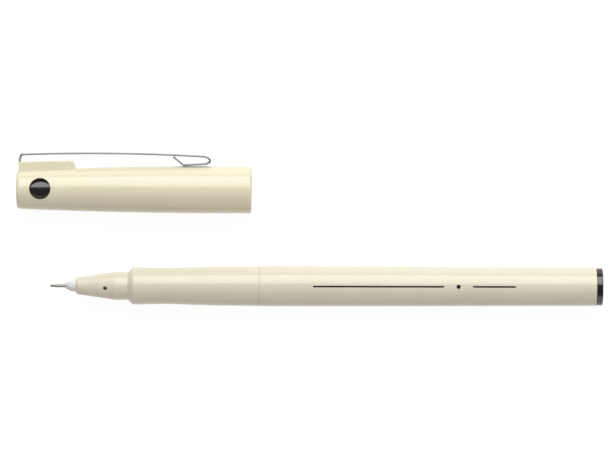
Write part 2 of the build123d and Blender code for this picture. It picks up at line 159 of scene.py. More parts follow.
def noise_over(tree, place, scale, detail):
    """Noise that reads a place: the scale counts its patches per metre, and the detail adds finer ones."""
    noise = tree.nodes.new("ShaderNodeTexNoise")
    noise.inputs["Scale"].default_value = scale
    noise.inputs["Detail"].default_value = detail
    tree.links.new(place, noise.inputs["Vector"])
    return noise.outputs["Fac"]


def spread_shades(tree, field, colours, stops):
    """Colour that goes from the first shade to the second as the field climbs between the stops."""
    shades = tree.nodes.new("ShaderNodeValToRGB")
    for element, stop, colour in zip(shades.color_ramp.elements, stops, colours):
        element.position = stop
        element.color = (*colour, 1)
    tree.links.new(field, shades.inputs["Fac"])
    tree.links.new(shades.outputs["Color"], tree.nodes["Principled BSDF"].inputs["Base Color"])


def spread_gloss(tree, field, roughness, stops):
    """Roughness that goes from the first value to the second as the field climbs between the stops."""
    gloss = tree.nodes.new("ShaderNodeMapRange")
    for socket, value in zip(("From Min", "From Max", "To Min", "To Max"), (*stops, *roughness)):
        gloss.inputs[socket].default_value = value
    tree.links.new(field, gloss.inputs["Value"])
    tree.links.new(gloss.outputs["Result"], tree.nodes["Principled BSDF"].inputs["Roughness"])


def raise_grain(tree, field, grain, strength):
    """Fine relief: the field lifts the skin by the grain, at the given strength."""
    bump = tree.nodes.new("ShaderNodeBump")
    bump.inputs["Strength"].default_value = strength
    bump.inputs["Distance"].default_value = grain
    tree.links.new(field, bump.inputs["Height"])
    tree.links.new(bump.outputs["Normal"], tree.nodes["Principled BSDF"].inputs["Normal"])


def moulded_finish(name, colours, roughness, grain, shine=0.5):
    """Moulded plastic: two close shades drift over millimetres, gloss wanders, fine grain lifts the skin."""
    finish, tree, shader = new_finish(name)
    shader.inputs["Specular IOR Level"].default_value = shine
    place = tree.nodes.new("ShaderNodeTexCoord").outputs["Object"]
    spread_shades(tree, noise_over(tree, place, *SHADE_NOISE), colours, SHADE_STOPS)
    spread_gloss(tree, noise_over(tree, place, *GLOSS_NOISE), roughness, GLOSS_STOPS)
    raise_grain(tree, noise_over(tree, place, *GRAIN_NOISE), grain, GRAIN_STRENGTH)
    return finish


nib_finish = moulded_finish("ink_stained_nib", NIB_COLOURS, NIB_ROUGHNESS, NIB_GRAIN)
nib_edge = rounded([(0, 0), (0, nib_r), (nib_length, nib_r)], [NIB_ROUND_SHARE * nib_r], NIB_ROUND_STEPS)
nib_profile = np.concatenate([even_steps(nib_edge, NIB_STEP), [(nib_length, 0)]])
nib = turned("nib_point", nib_profile, pen_line, nib_finish, NIB_AROUND, closed=False)
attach(nib, "pen")
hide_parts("nib")

# Sleeve: a drawn tube of thin stainless steel that stiffens the nib, with its cut ends slightly rounded.
# It is pressed into the holder, and a little over two millimetres of it stand out in front.
sleeve_lo, sleeve_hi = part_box("nib_sleeve")
sleeve_start = sleeve_lo.x - nib_lo.x
sleeve_end = sleeve_hi.x - nib_lo.x
sleeve_r = (sleeve_hi.y - sleeve_lo.y) / 2
SLEEVE_BORE_R = 0.25 * MM
SLEEVE_EDGE = 0.05 * MM
SLEEVE_STEP = 0.5 * MM
SLEEVE_AROUND = 64
SLEEVE_COLOURS = ((0.30, 0.29, 0.265), (0.25, 0.24, 0.22))
SLEEVE_ROUGHNESS = (0.24, 0.34)
SLEEVE_STREAKS = (300, 9000, 9000)
SLEEVE_GRAIN = 0.0004 * MM
STEEL_DETAIL = 5
STEEL_STOPS = (0.3, 0.7)
STEEL_STRENGTH = 0.4


def streaks_along(tree, patches, detail):
    """Noise drawn out into streaks: the place is first scaled by the patches per metre along each axis."""
    squeeze = tree.nodes.new("ShaderNodeMapping")
    squeeze.inputs["Scale"].default_value = patches
    tree.links.new(tree.nodes.new("ShaderNodeTexCoord").outputs["Object"], squeeze.inputs["Vector"])
    return noise_over(tree, squeeze.outputs["Vector"], 1.0, detail)


def steel_finish(name, colours, roughness, patches, grain):
    """Drawn or rolled steel: fine streaks along the piece tint it, change its gloss and lift it."""
    finish, tree, shader = new_finish(name)
    shader.inputs["Metallic"].default_value = 1.0
    streaks = streaks_along(tree, patches, STEEL_DETAIL)
    spread_shades(tree, streaks, colours, STEEL_STOPS)
    spread_gloss(tree, streaks, roughness, (0, 1))
    raise_grain(tree, streaks, grain, STEEL_STRENGTH)
    return finish


sleeve_finish = steel_finish(
    "drawn_sleeve_steel", SLEEVE_COLOURS, SLEEVE_ROUGHNESS, SLEEVE_STREAKS, SLEEVE_GRAIN
)
sleeve_skin = rounded(
    [
        (sleeve_start, SLEEVE_BORE_R),
        (sleeve_start, sleeve_r),
        (sleeve_end, sleeve_r),
        (sleeve_end, SLEEVE_BORE_R),
    ],
    [SLEEVE_EDGE, SLEEVE_EDGE],
)
sleeve = turned("steel_sleeve", even_steps(sleeve_skin, SLEEVE_STEP), pen_line, sleeve_finish, SLEEVE_AROUND)
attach(sleeve, "pen")
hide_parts("nib_sleeve")

# Holder: a small moulded cone of pale, faintly lilac plastic with round sides, bored to take the sleeve.
# Its straight shank sits in the nose and its flange is pushed against the seat from behind.
holder_lo, holder_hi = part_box("nib_holder")
holder_start = holder_lo.x - nib_lo.x
holder_end = holder_hi.x - nib_lo.x
flange_r = (holder_hi.y - holder_lo.y) / 2
HOLDER_TIP_R = 0.54 * MM
HOLDER_TIP_EDGE = 0.06 * MM
HOLDER_TIP_STEPS = 4
HOLDER_R = 1.45 * MM
HOLDER_BORE_R = 0.39 * MM
HOLDER_CONE = 2.62 * MM
HOLDER_BELLY = (0.943 * MM, 1.086 * MM)  # along and radius of a point on the cone's round side
CONE_ROWS = 24
CONE_AIM_ROW = 4  # row of the cone's side that the tip's round edge leads to
FLANGE_START = 15.09 * MM
FLANGE_END = 17.59 * MM
TAIL_R = 1.3 * MM
TAIL_BORE_R = 0.8 * MM
HOLDER_STEP = 0.8 * MM
HOLDER_AROUND = 96
HOLDER_COLOURS = ((0.89, 0.85, 0.855), (0.86, 0.825, 0.83))
HOLDER_ROUGHNESS = (0.3, 0.42)
HOLDER_GRAIN = 0.0006 * MM
HOLDER_CLOUD_SHARE = 0.6
HOLDER_SCATTER = (1.0, 0.95, 0.97)
HOLDER_DEPTH = 2.5 * MM


def arc_through(first, middle, last, count):
    """Arc of a circle through three points: the centre is where the bisectors of the two chords meet."""
    first, middle, last = (np.array(point, dtype=float) for point in (first, middle, last))
    chords = np.array([middle - first, last - middle])
    centre = np.linalg.solve(chords, [chords[0] @ (first + middle) / 2, chords[1] @ (middle + last) / 2])
    start, end = (math.atan2(*(point - centre)[::-1]) for point in (first, last))
    angle = np.linspace(start, end, count)
    return centre + np.linalg.norm(first - centre) * np.stack([np.cos(angle), np.sin(angle)], axis=1)


holder_finish = moulded_finish("pale_holder_plastic", HOLDER_COLOURS, HOLDER_ROUGHNESS, HOLDER_GRAIN)
holder_shader = holder_finish.node_tree.nodes["Principled BSDF"]
holder_shader.inputs["Subsurface Weight"].default_value = HOLDER_CLOUD_SHARE
holder_shader.inputs["Subsurface Radius"].default_value = HOLDER_SCATTER
holder_shader.inputs["Subsurface Scale"].default_value = HOLDER_DEPTH
cone_side = arc_through(
    (holder_start, HOLDER_TIP_R),
    (holder_start + HOLDER_BELLY[0], HOLDER_BELLY[1]),
    (holder_start + HOLDER_CONE, HOLDER_R),
    CONE_ROWS,
)
holder_tip = [(holder_start, HOLDER_BORE_R), cone_side[0], cone_side[CONE_AIM_ROW]]
holder_front = rounded(holder_tip, [HOLDER_TIP_EDGE], HOLDER_TIP_STEPS)[:-1]
holder_inside = np.array(
    [
        (FLANGE_START, HOLDER_R),
        (FLANGE_START, flange_r),
        (FLANGE_END, flange_r),
        (FLANGE_END, TAIL_R),
        (holder_end, TAIL_R),
        (holder_end, TAIL_BORE_R),
        (sleeve_end, TAIL_BORE_R),
        (sleeve_end, HOLDER_BORE_R),
    ]
)
holder_skin = np.concatenate([holder_front, cone_side[1:], even_steps(holder_inside, HOLDER_STEP)])
holder = turned("nib_cone", holder_skin, pen_line, holder_finish, HOLDER_AROUND)
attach(holder, "pen")
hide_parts("nib_holder")

# Feed, reservoir and film: a fibre rod and a fibre roll soaked with black ink, and a thin wrap round it.
# They lie inside the barrel and the front section and never show, so they keep their solids.
FIBRE_COLOURS = ((0.02, 0.02, 0.024), (0.055, 0.055, 0.06))
FIBRE_STREAKS = (150, 7000, 7000)
FIBRE_DETAIL = 3
FIBRE_ROUGHNESS = 0.85
FIBRE_GRAIN = 0.02 * MM
FILM_COLOUR = (0.82, 0.83, 0.84)
FILM_ROUGHNESS = (0.1, 0.2)
FILM_GRAIN = 0.0003 * MM


def fibre_finish(name, colours, patches, grain):
    """Bonded fibre, dull all over: long thin streaks along it tint it in two dark shades and lift it."""
    finish, tree, shader = new_finish(name)
    shader.inputs["Roughness"].default_value = FIBRE_ROUGHNESS
    strands = streaks_along(tree, patches, FIBRE_DETAIL)
    spread_shades(tree, strands, colours, (0, 1))
    raise_grain(tree, strands, grain, 1.0)
    return finish


def dress(node, finish):
    """Gives a solid of the frame this one finish in place of those that it has."""
    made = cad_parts[node]
    made.data.materials.clear()
    made.data.materials.append(finish)


soaked_fibre = fibre_finish("ink_soaked_fibre", FIBRE_COLOURS, FIBRE_STREAKS, FIBRE_GRAIN)
clear_film = moulded_finish("clear_film", (FILM_COLOUR, FILM_COLOUR), FILM_ROUGHNESS, FILM_GRAIN)
dress("feed", soaked_fibre)
dress("ink_reservoir", soaked_fibre)
dress("reservoir_film", clear_film)

# Front section: nose, sealing land, shoulder and waisted grip, moulded in one piece of glossy cream plastic.
# A small vent is left in the nose, and the spigot behind the grip snaps into the barrel.
section_lo, section_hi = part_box("front_section")
nose_start = section_lo.x - nib_lo.x
spigot_end = section_hi.x - nib_lo.x
grip_back_r = (section_hi.y - section_lo.y) / 2
seam = barrel_lo.x - nib_lo.x
NOSE_BORE_R = 1.47 * MM
NOSE_R = 1.97 * MM
NOSE_EDGE = 0.45 * MM
SEAL_START = 15.49 * MM
SEAL_END = 18.57 * MM
SEAL_R = 3.33 * MM
SEAL_BLEND = 2.95 * MM
SHOULDER = 20.2 * MM
SHOULDER_R = 4.445 * MM
SHOULDER_EDGE = 0.5 * MM
SHOULDER_EDGE_R = 1.1 * MM
SHOULDER_BLEND = 0.3 * MM
NOSE_ROUND_STEPS = 10
NOSE_STEP = 0.5 * MM
WAIST = (25.237 * MM, 4.32 * MM)  # along and radius, as for the swell
SWELL = (34.126 * MM, 4.5 * MM)
GRIP_ROWS = 60
SEAM_EDGE = 0.04 * MM
SEAM_DEPTH = 0.14 * MM
SPIGOT_R = 3.97 * MM
SECTION_BORE_R = 3.52 * MM
RESERVOIR_SEAT = 20.6 * MM
HOLDER_SEAT = (15.09 * MM, 2.58 * MM)
CHAMBER_R = 2.23 * MM
CHAMBER_START = 9.63 * MM
SECTION_BORE_STEP = 1.0 * MM
VENT_PLACE = 13.2 * MM
VENT_R = 0.475 * MM
VENT_LIP = 0.05 * MM
VENT_REACH = 1.1 * MM
VENT_TILT = -math.radians(11.4)
HOLE_STEPS = 24
HOLE_RINGS = 7
HOLE_LIP_STEPS = 4
HOLE_MARGIN_SHARE = 1.02
CREAM = ((0.79, 0.735, 0.575), (0.77, 0.715, 0.555))
CREAM_ROUGHNESS = (0.13, 0.19)
CREAM_GRAIN = 0.0002 * MM
CREAM_SHINE = 0.46


def clamped_curve(knots, count):
    """Cubic curve through the knots, level at both ends: its slopes solve the three-term spline system."""
    knots = np.array(knots)
    gap = np.diff(knots[:, 0])
    rise = np.diff(knots[:, 1]) / gap
    system = np.eye(len(knots))
    wanted = np.zeros(len(knots))
    inner = np.arange(1, len(knots) - 1)
    system[inner, inner - 1] = gap[1:]
    system[inner, inner] = 2 * (gap[1:] + gap[:-1])
    system[inner, inner + 1] = gap[:-1]
    wanted[inner] = 3 * (gap[1:] * rise[:-1] + gap[:-1] * rise[1:])
    slope = np.linalg.solve(system, wanted)
    along = np.linspace(knots[0, 0], knots[-1, 0], count)
    part = np.clip(np.searchsorted(knots[:, 0], along) - 1, 0, len(gap) - 1)
    share = (along - knots[part, 0]) / gap[part]
    height = (
        knots[part, 1] * (1 + 2 * share) * (1 - share) ** 2
        + knots[part + 1, 1] * share**2 * (3 - 2 * share)
        + gap[part] * share * (1 - share) * (slope[part] * (1 - share) - slope[part + 1] * share)
    )
    return np.stack([along, height], axis=1)


def pierced(name, outside, inside, hole, line, finish, around=128):
    """Turned wall with a round hole drilled in from one side.

    The outside and inside rows go round the line like any turned piece. A window of the grid round the hole
    is left out on both, and rings lead from its edge to the hole: each ring is a mix of the edge and the
    circle in (along, angle). A quarter-round lip and the hole's wall then join the two sides. The hole is its
    place along the line, its radius, its lip, half the window's side and its tilt about the line.
    """
    place, radius, lip, reach, tilt = hole
    steps = HOLE_STEPS
    margin = HOLE_MARGIN_SHARE * reach
    window = np.linspace(place - reach, place + reach, steps + 1)
    sides = []
    for rows in (outside, inside):
        before = rows[rows[:, 0] < place - margin]
        behind = rows[rows[:, 0] > place + margin]
        inner = np.stack([window, np.interp(window, rows[:, 0], rows[:, 1])], axis=1)
        sides.append((np.concatenate([before, inner, behind]), len(before)))
    (outer_rows, outer_first), (inner_rows, inner_first) = sides
    loop = np.concatenate([outer_rows, inner_rows[::-1]])
    half = math.asin(reach / np.interp(place, outer_rows[:, 0], outer_rows[:, 1]))
    far = np.linspace(half, 2 * math.pi - half, around - steps + 1)[1:-1]
    angle = np.concatenate([np.linspace(-half, half, steps + 1), far])
    columns = len(angle)
    cells = grid_faces(len(loop), columns, True)
    keep = np.ones(cells.shape[:2], dtype=bool)
    inner_last = len(loop) - 1 - inner_first
    keep[outer_first:outer_first + steps, :steps] = False
    keep[inner_last - steps:inner_last, :steps] = False
    count = np.arange(steps)
    edge_row = np.concatenate([0 * count, count, 0 * count + steps, steps - count])
    edge_column = np.concatenate([count, 0 * count + steps, steps - count, 0 * count])
    edge_x, edge_angle = window[edge_row], angle[edge_column]
    bearing = np.arctan2(edge_angle / half, (edge_x - place) / reach)

    def wall(x, lateral, rows, depth=0.0):
        """Points of a wall over a spot: height is the root of radius squared less lateral squared."""
        level = np.sqrt(np.interp(x, rows[:, 0], rows[:, 1]) ** 2 - lateral**2) - depth
        return np.stack([x, lateral, level], axis=-1)

    def spread(rows, rim):
        """Rings from the window's edge to a circle, mixed in (along, angle) and laid on the wall."""
        circle_x = place + rim * np.cos(bearing)
        circle_r = np.interp(circle_x, rows[:, 0], rows[:, 1])
        circle_angle = np.arcsin(rim * np.sin(bearing) / circle_r)
        mix = np.linspace(0, 1, HOLE_RINGS + 1)[1:, None]
        x = edge_x + (circle_x - edge_x) * mix
        turn = edge_angle + (circle_angle - edge_angle) * mix
        return wall(x, np.interp(x, rows[:, 0], rows[:, 1]) * np.sin(turn), rows)

    bend = np.linspace(0, math.pi / 2, HOLE_LIP_STEPS + 1)[1:, None]
    rim = radius + lip * (1 - np.sin(bend))
    drop = lip * (1 - np.cos(bend))
    lip_rings = wall(place + rim * np.cos(bearing), rim * np.sin(bearing), outer_rows, drop)
    bottom = spread(inner_rows, radius)
    rings = np.concatenate([spread(outer_rows, radius + lip), lip_rings, bottom[::-1]])
    points = np.concatenate([spun(loop, angle).reshape(-1, 3), rings.reshape(-1, 3)])
    cosine, sine = math.cos(tilt), math.sin(tilt)
    turn = np.array([[1, 0, 0], [0, cosine, sine], [0, -sine, cosine]])
    first_ring = (outer_first + edge_row) * columns + edge_column
    last_ring = (inner_last - edge_row) * columns + edge_column
    new_rings = len(loop) * columns + np.arange(len(rings) * len(bearing)).reshape(len(rings), -1)
    stack = np.concatenate([first_ring[None], new_rings, last_ring[None]])
    beside = np.roll(stack, -1, axis=1)
    hole_faces = np.stack([stack[:-1], beside[:-1], beside[1:], stack[1:]], axis=-1).reshape(-1, 4)
    faces = np.concatenate([cells[keep], hole_faces])
    return make_piece(name, points @ turn.T + line, faces.tolist(), finish)


cream_finish = moulded_finish("glossy_cream_plastic", CREAM, CREAM_ROUGHNESS, CREAM_GRAIN, CREAM_SHINE)
nose_side = rounded(
    [
        (nose_start, NOSE_BORE_R),
        (nose_start, NOSE_R),
        (SEAL_START, SEAL_R),
        (SEAL_END, SEAL_R),
        (SHOULDER - SHOULDER_EDGE, SHOULDER_R),
        (SHOULDER, SHOULDER_R),
    ],
    [NOSE_EDGE, SEAL_BLEND, SHOULDER_BLEND, SHOULDER_EDGE_R],
    NOSE_ROUND_STEPS,
)
grip_knots = [(SHOULDER, SHOULDER_R), WAIST, SWELL, (seam - SEAM_EDGE, grip_back_r)]
spigot_side = [
    (seam, grip_back_r - SEAM_DEPTH),
    (seam, SPIGOT_R),
    (spigot_end, SPIGOT_R),
]
section_outside = np.concatenate(
    [even_steps(nose_side, NOSE_STEP)[:-1], clamped_curve(grip_knots, GRIP_ROWS), spigot_side]
)
section_bore = np.array(
    [
        (nose_start, NOSE_BORE_R),
        (CHAMBER_START, NOSE_BORE_R),
        (HOLDER_SEAT[0], CHAMBER_R),
        HOLDER_SEAT,
        (RESERVOIR_SEAT, HOLDER_SEAT[1]),
        (RESERVOIR_SEAT, SECTION_BORE_R),
        (spigot_end, SECTION_BORE_R),
    ]
)
section_inside = even_steps(section_bore, SECTION_BORE_STEP)
vent = (VENT_PLACE, VENT_R, VENT_LIP, VENT_REACH, VENT_TILT)
front = pierced("cream_front_section", section_outside, section_inside, vent, pen_line, cream_finish)
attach(front, "pen")
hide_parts("front_section")

# Barrel: a long tube of the same glossy cream plastic, fullest just behind the seam and tapering to the back.
# It is moulded on a core, takes the front section's spigot and the end plug, and has a stroke sample
# printed on its upper side.
barrel_end = barrel_hi.x - nib_lo.x
barrel_r = (barrel_hi.y - barrel_lo.y) / 2
BARREL_FRONT_R = 4.75 * MM
BARREL_BACK_R = 4.54 * MM
LAND_START = 52.13 * MM
LAND_END = 68.13 * MM
SPIGOT_BORE_R = 3.99 * MM
SPIGOT_BORE_END = 61.13 * MM
BARREL_BORE_R = 3.74 * MM
BACK_EDGE = 0.05 * MM
BARREL_STEP = 0.9 * MM
INK = (0.012, 0.012, 0.013, 1)
STROKES = (
    (62.8 * MM, 93.6 * MM, 0.2 * MM),
    (97.2 * MM, 97.2 * MM, 0.5 * MM),
    (100.8 * MM, 110.6 * MM, 0.2 * MM),
)


def print_strokes(finish, line, strokes, ink):
    """Ink on a finish's upper side: a spot is inked if it lies within half a width of a stroke.

    A stroke is its first and last place along the line and half its width.
    """
    nodes, links = finish.node_tree.nodes, finish.node_tree.links
    shader = nodes["Principled BSDF"]
    bare = shader.inputs["Base Color"].links[0].from_socket
    place = nodes.new("ShaderNodeSeparateXYZ")
    links.new(nodes.new("ShaderNodeTexCoord").outputs["Object"], place.inputs["Vector"])

    def reckon(operation, *values):
        """One sum: numbers are typed into the node and sockets are linked to it."""
        node = nodes.new("ShaderNodeMath")
        node.operation = operation
        for socket, value in zip(node.inputs, values):
            if isinstance(value, bpy.types.NodeSocket):
                links.new(value, socket)
            else:
                socket.default_value = value
        return node.outputs["Value"]

    aside = reckon("POWER", reckon("ABSOLUTE", reckon("SUBTRACT", place.outputs["Y"], line[1])), 2.0)
    inked = 0.0
    for first, last, half_width in strokes:
        along = reckon("ABSOLUTE", reckon("SUBTRACT", place.outputs["X"], line[0] + (first + last) / 2))
        past = reckon("POWER", reckon("MAXIMUM", reckon("SUBTRACT", along, (last - first) / 2), 0.0), 2.0)
        inked = reckon("MAXIMUM", inked, reckon("LESS_THAN", reckon("ADD", past, aside), half_width**2))
    inked = reckon("MULTIPLY", inked, reckon("GREATER_THAN", place.outputs["Z"], line[2]))
    coat = nodes.new("ShaderNodeMix")
    coat.data_type = "RGBA"
    coat.inputs["B"].default_value = ink
    links.new(inked, coat.inputs["Factor"])
    links.new(bare, coat.inputs["A"])
    links.new(coat.outputs["Result"], shader.inputs["Base Color"])


barrel_finish = moulded_finish("printed_cream_plastic", CREAM, CREAM_ROUGHNESS, CREAM_GRAIN, CREAM_SHINE)
print_strokes(barrel_finish, pen_line.tolist(), STROKES, INK)
barrel_skin = rounded(
    [
        (seam, SPIGOT_BORE_R),
        (seam, BARREL_FRONT_R - SEAM_DEPTH),
        (seam + SEAM_EDGE, BARREL_FRONT_R),
        (LAND_START, barrel_r),
        (LAND_END, barrel_r),
        (barrel_end, BARREL_BACK_R),
        (barrel_end, BARREL_BORE_R),
        (SPIGOT_BORE_END, BARREL_BORE_R),
        (SPIGOT_BORE_END, SPIGOT_BORE_R),
    ],
    [0, 0, 0, 0, BACK_EDGE, 0, 0],
)
barrel = turned("cream_barrel", even_steps(barrel_skin, BARREL_STEP), pen_line, barrel_finish)
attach(barrel, "pen")
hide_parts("barrel")

# End plug: a short black gloss plug with a rounded rim that closes the barrel's back end.
# It is moulded hollow and its spigot snaps into the barrel, so only the head shows.
plug_lo, plug_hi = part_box("end_plug")
plug_start = plug_lo.x - nib_lo.x
plug_end = plug_hi.x - nib_lo.x
plug_r = (plug_hi.y - plug_lo.y) / 2
PLUG_EDGE = 0.2 * MM
PLUG_SPIGOT_R = 3.72 * MM
PLUG_BORE_R = 2.87 * MM
PLUG_FLOOR = 1.8 * MM
PLUG_STEP = 0.4 * MM
BLACK = ((0.013, 0.008, 0.008), (0.009, 0.006, 0.0062))
BLACK_ROUGHNESS = (0.14, 0.22)
BLACK_GRAIN = 0.0002 * MM
BLACK_SHINE = 0.76
black_finish = moulded_finish("glossy_black_plastic", BLACK, BLACK_ROUGHNESS, BLACK_GRAIN, BLACK_SHINE)
plug_skin = rounded(
    [
        (plug_start, PLUG_BORE_R),
        (plug_start, PLUG_SPIGOT_R),
        (barrel_end, PLUG_SPIGOT_R),
        (barrel_end, plug_r),
        (plug_end, plug_r),
        (plug_end, 0),
    ],
    [0, 0, 0, PLUG_EDGE],
)
plug_inside = [(plug_end - PLUG_FLOOR, 0), (plug_end - PLUG_FLOOR, PLUG_BORE_R)]
plug_loop = np.concatenate([even_steps(plug_skin, PLUG_STEP), plug_inside])
plug = turned("black_end_plug", plug_loop, pen_line, black_finish)
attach(plug, "pen")
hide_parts("end_plug")

# Inner cap: a black gloss liner, moulded as a cup and pressed into the closed end of the cap.
# It seals on the land behind the nose, and its side shows as a black dot in the cap's window.
cap_lo, cap_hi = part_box("cap_shell")
mouth_r = (cap_hi.z - cap_lo.z) / 2
cap_line = np.array([cap_lo.x, cap_lo.y + mouth_r, cap_lo.z + mouth_r])
liner_lo, liner_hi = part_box("inner_cap")
liner_start = liner_lo.x - cap_lo.x
liner_end = liner_hi.x - cap_lo.x
liner_back_r = (liner_hi.z - liner_lo.z) / 2
LINER_DEEP_R = 3.584 * MM
LINER_SEAL_R = 3.36 * MM
LINER_SEAL = 2.6 * MM
LINER_LEAD_IN = 0.25 * MM
LINER_FLOOR = 1.2 * MM
LINER_POCKET_R = 3.034 * MM
LINER_STEP = 0.6 * MM
liner_skin = np.array(
    [
        (liner_start, 0),
        (liner_start, LINER_DEEP_R),
        (liner_end, liner_back_r),
        (liner_end, LINER_SEAL_R + LINER_LEAD_IN),
        (liner_end - LINER_LEAD_IN, LINER_SEAL_R),
        (liner_end - LINER_SEAL, LINER_SEAL_R),
        (liner_start + LINER_FLOOR, LINER_POCKET_R),
        (liner_start + LINER_FLOOR, 0),
    ]
)
liner = turned("black_inner_cap", even_steps(liner_skin, LINER_STEP), cap_line, black_finish)
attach(liner, "cap")
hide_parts("inner_cap")

# Cap shell: glossy cream plastic, swelling gently from the closed end to a straight land at the mouth.
# It is moulded in one piece with the block for the clip, and a round window shows the liner.
cap_length = cap_hi.x - cap_lo.x
CAP_END_R = 4.62 * MM
CAP_SWELL_R = 5.35 * MM
CAP_LAND = 45.78 * MM
CAP_END_EDGE = 0.7 * MM
CAP_MOUTH_EDGE = 0.3 * MM
CAP_ROWS = 90
CAP_AIM_ROW = 2  # row of the cap's side that the end's round edge leads to
CAP_MOUTH_STEP = 0.6 * MM
MOUTH_BORE_R = 4.85 * MM
MOUTH_BORE_START = 40.78 * MM
MOUTH_INNER_EDGE = 0.06 * MM
SEAT_END = 24.32 * MM
SEAT_BACK_R = 4.52 * MM
SEAT_STEP = (0.4 * MM, 0.1 * MM)
SEAT_DEEP = (1.3 * MM, 3.604 * MM)
CAP_BORE_STEP = 0.8 * MM
WINDOW_PLACE = 5.66 * MM
WINDOW_R = 2.525 * MM
WINDOW_LIP = 0.07 * MM
WINDOW_REACH = 3.5 * MM
WINDOW_TILT = math.radians(1.7)
CAP_CREAM = ((0.83, 0.775, 0.57), (0.81, 0.755, 0.55))
cap_finish = moulded_finish("warm_cream_plastic", CAP_CREAM, CREAM_ROUGHNESS, CREAM_GRAIN, CREAM_SHINE)
cap_side = arc_through((0, CAP_END_R), (CAP_LAND / 2, CAP_SWELL_R), (CAP_LAND, mouth_r), CAP_ROWS)
cap_end = rounded([(0, 0), cap_side[0], cap_side[CAP_AIM_ROW]], [CAP_END_EDGE])[:-1]
cap_mouth = rounded(
    [
        (CAP_LAND, mouth_r),
        (cap_length, mouth_r),
        (cap_length, MOUTH_BORE_R),
        (MOUTH_BORE_START, MOUTH_BORE_R),
    ],
    [CAP_MOUTH_EDGE, MOUTH_INNER_EDGE],
)[:-1]
cap_outside = np.concatenate([cap_end, cap_side[CAP_AIM_ROW:-1], even_steps(cap_mouth, CAP_MOUTH_STEP)])
cap_bore = np.array(
    [
        (SEAT_DEEP[0], 0),
        SEAT_DEEP,
        (SEAT_END, SEAT_BACK_R),
        (SEAT_END + SEAT_STEP[0], SEAT_BACK_R + SEAT_STEP[1]),
        (MOUTH_BORE_START, MOUTH_BORE_R),
        (cap_length - 2 * MOUTH_INNER_EDGE, MOUTH_BORE_R),
    ]
)
cap_inside = even_steps(cap_bore, CAP_BORE_STEP)
window = (WINDOW_PLACE, WINDOW_R, WINDOW_LIP, WINDOW_REACH, WINDOW_TILT)
shell = pierced("cream_cap_shell", cap_outside, cap_inside, window, cap_line, cap_finish)
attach(shell, "cap")
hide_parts("cap_shell")

# Clip block: a low flat-topped block of the cap's own plastic on the side of its closed end, edges rounded.
# The clip's bend stands in a notch in its front edge, and a slot behind the notch takes the clip's tongue.
BLOCK_START = 0.5 * MM
BLOCK_END = 13.75 * MM
BLOCK_HALF = 2.23 * MM
BLOCK_TOP = (6.561 * MM, 6.916 * MM)  # height over the cap's line at the start and the end
BLOCK_EDGE = 0.3 * MM
BLOCK_EDGE_STEPS = 8
BLOCK_BACK_EDGE = 1.0 * MM
BLOCK_BACK_STEPS = 12
BLOCK_SINK = 0.15 * MM
BLOCK_ROWS = 24
CROWN_COLUMNS = 8
NOTCH_END = 1.05 * MM
NOTCH_FLOOR = 5.551 * MM
SLOT_HALF = 1.73 * MM
SLOT_HEIGHT = 5.891 * MM
SLOT_END = 12.25 * MM
SLOT_HALF_HEIGHT = 0.24 * MM


def quarter_round(radius, steps):
    """Distances in from a side at which a quarter-round edge is cut: radius less radius times cosine."""
    return radius * (1 - np.cos(np.linspace(0, math.pi / 2, steps + 1)))


def edge_drop(inset, radius):
    """How far a quarter-round edge lies below the top, at a distance in from the side."""
    short = np.clip(radius - inset, 0, radius)
    return radius - np.sqrt(radius**2 - short**2)


def block_loops(along, across):
    """Loops round the block: its crown, with round edges, side to side, and its foot in the cap's wall."""
    front_drop = edge_drop(along - BLOCK_START, BLOCK_EDGE)
    side_drop = edge_drop(BLOCK_HALF - np.abs(across), BLOCK_EDGE)
    back_drop = edge_drop(BLOCK_END - along, BLOCK_BACK_EDGE)
    ridge = np.interp(along, [BLOCK_START, BLOCK_END], BLOCK_TOP) - back_drop
    crown = ridge[:, None] - np.maximum(front_drop[:, None], side_drop[None])
    foot = np.sqrt(np.interp(along, cap_side[:, 0], cap_side[:, 1]) ** 2 - BLOCK_HALF**2) - BLOCK_SINK
    height = np.concatenate([crown, np.broadcast_to(foot[:, None], crown.shape)], axis=1)
    there_and_back = np.concatenate([across, across[::-1]])
    return np.stack(np.broadcast_arrays(along[:, None], height, there_and_back[None]), axis=-1)


def end_faces(rows, columns):
    """The faces that fill in the first and the last loop of a grid."""
    last = (rows - 1) * columns
    return [list(range(columns)), list(range(last + columns - 1, last - 1, -1))]


def notched(name, front, slot, back, dip, finish):
    """Lofted block whose front loops dip into a notch, with a blind slot in the notch's back wall.

    Loops are joined in order: the front ones, the slot's four (floor out, floor in, roof in, roof out) and
    the back ones. The dip is the run of columns that the notch and slot take. Between the dip's outer columns
    and their neighbours the slot has a side wall instead of grid faces, and the notch's own wall meets its
    corners.
    """
    loops = np.concatenate([front, slot, back])
    rows, columns = loops.shape[:2]
    cells = grid_faces(rows, columns, False)
    first, last = dip
    keep = np.ones((rows - 1, columns), dtype=bool)
    mouth = len(front) - 1
    before = (mouth - 1) * columns
    slot_rows = np.arange(mouth, mouth + len(slot) + 1)
    keep[slot_rows, :first] = False
    keep[slot_rows, last:] = False
    walls = []
    for inner, outer, cell in ((first, first - 1, first - 1), (last, last + 1, last)):
        keep[mouth - 1, cell] = False
        line = slot_rows * columns + inner
        walls.append(line[1:].tolist())
        walls.append([before + outer, before + inner, line[0], line[1], line[-1], mouth * columns + outer])
    faces = cells[keep].tolist() + walls + end_faces(rows, columns)
    return make_piece(name, loops.reshape(-1, 3), faces, finish)


